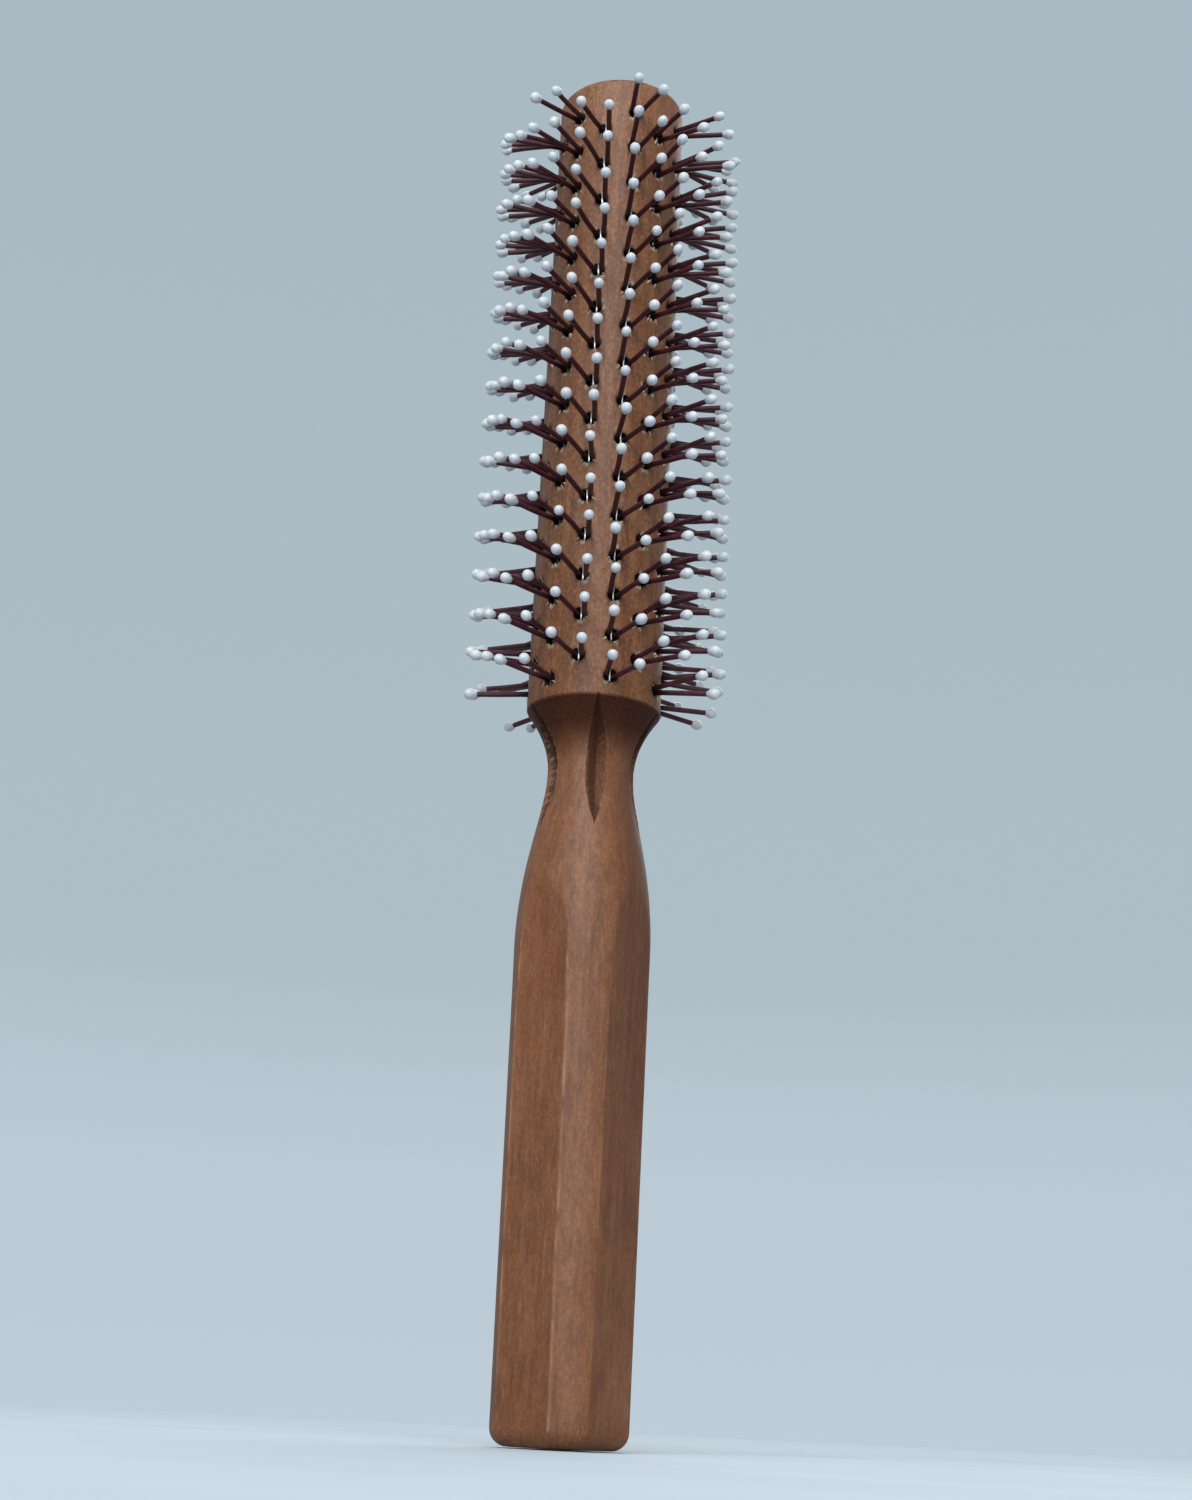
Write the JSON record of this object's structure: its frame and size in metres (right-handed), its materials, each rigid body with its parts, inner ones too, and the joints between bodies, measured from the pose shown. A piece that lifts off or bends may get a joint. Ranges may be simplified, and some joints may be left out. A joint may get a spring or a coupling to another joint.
{
  "type": "round barrel hair brush",
  "caption": "Round barrel hair brush: turned wooden barrel with rows of folded ball-tipped bristles all round, a narrow fluted neck and an eight-sided wooden handle.",
  "frame": {"origin": "centre of the flat butt face at the bottom of the handle", "axes": "+Z along the brush from the handle's butt to the barrel's end; -Y through the middle of the handle's narrow front facet; +X to the right seen from the front"},
  "size_m": [0.0422, 0.0422, 0.225],
  "materials": {
    "stained_wood": "satin",
    "bristle_nylon": "satin",
    "tip_resin": "gloss",
    "staple_wire": "satin"
  },
  "bodies": {
    "root": {"bristle_row_01_a": "bristle_nylon", "bristle_row_01_b": "bristle_nylon", "bristle_row_01_c": "bristle_nylon", "bristle_row_01_d": "bristle_nylon", "bristle_row_02_a": "bristle_nylon", "bristle_row_02_b": "bristle_nylon", "bristle_row_02_c": "bristle_nylon", "bristle_row_02_d": "bristle_nylon", "bristle_row_03_a": "bristle_nylon", "bristle_row_03_b": "bristle_nylon", "bristle_row_03_c": "bristle_nylon", "bristle_row_03_d": "bristle_nylon", "bristle_row_04_a": "bristle_nylon", "bristle_row_04_b": "bristle_nylon", "bristle_row_04_c": "bristle_nylon", "bristle_row_04_d": "bristle_nylon", "bristle_row_05_a": "bristle_nylon", "bristle_row_05_b": "bristle_nylon", "bristle_row_05_c": "bristle_nylon", "bristle_row_05_d": "bristle_nylon", "bristle_row_06_a": "bristle_nylon", "bristle_row_06_b": "bristle_nylon", "bristle_row_06_c": "bristle_nylon", "bristle_row_06_d": "bristle_nylon", "bristle_row_07_a": "bristle_nylon", "bristle_row_07_b": "bristle_nylon", "bristle_row_07_c": "bristle_nylon", "bristle_row_07_d": "bristle_nylon", "bristle_row_08_a": "bristle_nylon", "bristle_row_08_b": "bristle_nylon", "bristle_row_08_c": "bristle_nylon", "bristle_row_08_d": "bristle_nylon", "bristle_row_09_a": "bristle_nylon", "bristle_row_09_b": "bristle_nylon", "bristle_row_09_c": "bristle_nylon", "bristle_row_09_d": "bristle_nylon", "bristle_row_10_a": "bristle_nylon", "bristle_row_10_b": "bristle_nylon", "bristle_row_10_c": "bristle_nylon", "bristle_row_10_d": "bristle_nylon", "bristle_row_11_a": "bristle_nylon", "bristle_row_11_b": "bristle_nylon", "bristle_row_11_c": "bristle_nylon", "bristle_row_11_d": "bristle_nylon", "bristle_row_12_a": "bristle_nylon", "bristle_row_12_b": "bristle_nylon", "bristle_row_12_c": "bristle_nylon", "bristle_row_12_d": "bristle_nylon", "bristle_row_13_a": "bristle_nylon", "bristle_row_13_b": "bristle_nylon", "bristle_row_13_c": "bristle_nylon", "bristle_row_13_d": "bristle_nylon", "bristle_row_14_a": "bristle_nylon", "bristle_row_14_b": "bristle_nylon", "bristle_row_14_c": "bristle_nylon", "bristle_row_14_d": "bristle_nylon", "wood_body": "stained_wood"}
  },
  "joints": []
}
